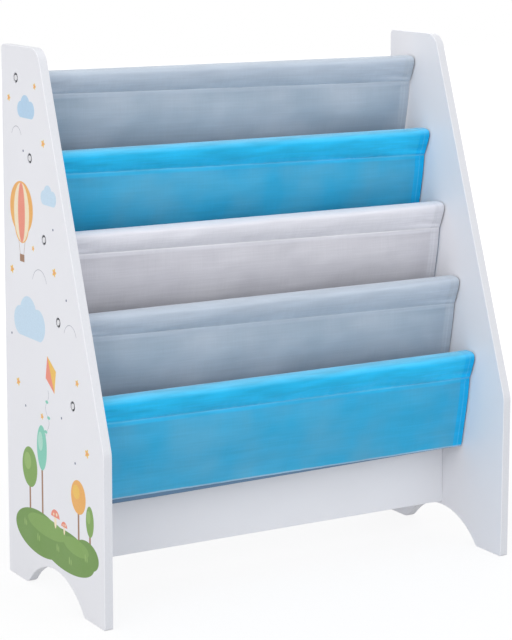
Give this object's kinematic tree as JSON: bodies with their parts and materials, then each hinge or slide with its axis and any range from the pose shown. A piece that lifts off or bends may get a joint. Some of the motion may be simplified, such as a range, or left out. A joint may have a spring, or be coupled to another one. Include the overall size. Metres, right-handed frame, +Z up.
{
  "type": "sling bookshelf",
  "caption": "Children's sling bookshelf: two tapered side panels joined by steel tubes and a low board, with hanging fabric pockets that show book covers.",
  "frame": {"origin": "on the floor, in the middle of the width and of the depth", "axes": "+Z up, -Y out of the front where the books go in, +X to the right seen from the front"},
  "size_m": [0.62, 0.285, 0.708],
  "materials": {
    "panel_lacquer": "white lacquered fibreboard, satin",
    "rod_steel": "zinc plated steel tube",
    "insert_zinc": "zinc plated, plain",
    "bolt_steel": "dark steel",
    "cap_plastic": "white, matt",
    "cam_zinc": "die cast zinc",
    "beech": "plain beech",
    "grey_fabric": "light grey woven polyester, slightly see-through",
    "blue_fabric": "sky blue woven polyester, slightly see-through",
    "white_fabric": "lilac white woven polyester, slightly see-through"
  },
  "bodies": {
    "root": {"left_side_panel": "panel_lacquer", "back_top_rod_insert_left": "insert_zinc", "back_top_rod_bolt_left": "bolt_steel", "back_top_rod_bolt_cap_left": "cap_plastic", "pocket_rod_1_insert_left": "insert_zinc", "pocket_rod_1_bolt_left": "bolt_steel", "pocket_rod_1_bolt_cap_left": "cap_plastic", "pocket_rod_2_insert_left": "insert_zinc", "pocket_rod_2_bolt_left": "bolt_steel", "pocket_rod_2_bolt_cap_left": "cap_plastic", "pocket_rod_3_insert_left": "insert_zinc", "pocket_rod_3_bolt_left": "bolt_steel", "pocket_rod_3_bolt_cap_left": "cap_plastic", "pocket_rod_4_insert_left": "insert_zinc", "pocket_rod_4_bolt_left": "bolt_steel", "pocket_rod_4_bolt_cap_left": "cap_plastic", "board_cam_left": "cam_zinc", "board_cam_bolt_left": "insert_zinc", "board_dowel_lower_left": "beech", "board_dowel_upper_left": "beech", "right_side_panel": "panel_lacquer", "back_top_rod_insert_right": "insert_zinc", "back_top_rod_bolt_right": "bolt_steel", "back_top_rod_bolt_cap_right": "cap_plastic", "pocket_rod_1_insert_right": "insert_zinc", "pocket_rod_1_bolt_right": "bolt_steel", "pocket_rod_1_bolt_cap_right": "cap_plastic", "pocket_rod_2_insert_right": "insert_zinc", "pocket_rod_2_bolt_right": "bolt_steel", "pocket_rod_2_bolt_cap_right": "cap_plastic", "pocket_rod_3_insert_right": "insert_zinc", "pocket_rod_3_bolt_right": "bolt_steel", "pocket_rod_3_bolt_cap_right": "cap_plastic", "pocket_rod_4_insert_right": "insert_zinc", "pocket_rod_4_bolt_right": "bolt_steel", "pocket_rod_4_bolt_cap_right": "cap_plastic", "board_cam_right": "cam_zinc", "board_cam_bolt_right": "insert_zinc", "board_dowel_lower_right": "beech", "board_dowel_upper_right": "beech", "lower_board": "panel_lacquer", "back_top_rod": "rod_steel", "top_grey_sling": "grey_fabric", "pocket_rod_1": "rod_steel", "upper_blue_sling": "blue_fabric", "pocket_rod_2": "rod_steel", "white_sling": "white_fabric", "pocket_rod_3": "rod_steel", "lower_grey_sling": "grey_fabric", "pocket_rod_4": "rod_steel", "lower_blue_sling": "blue_fabric"}
  },
  "joints": []
}
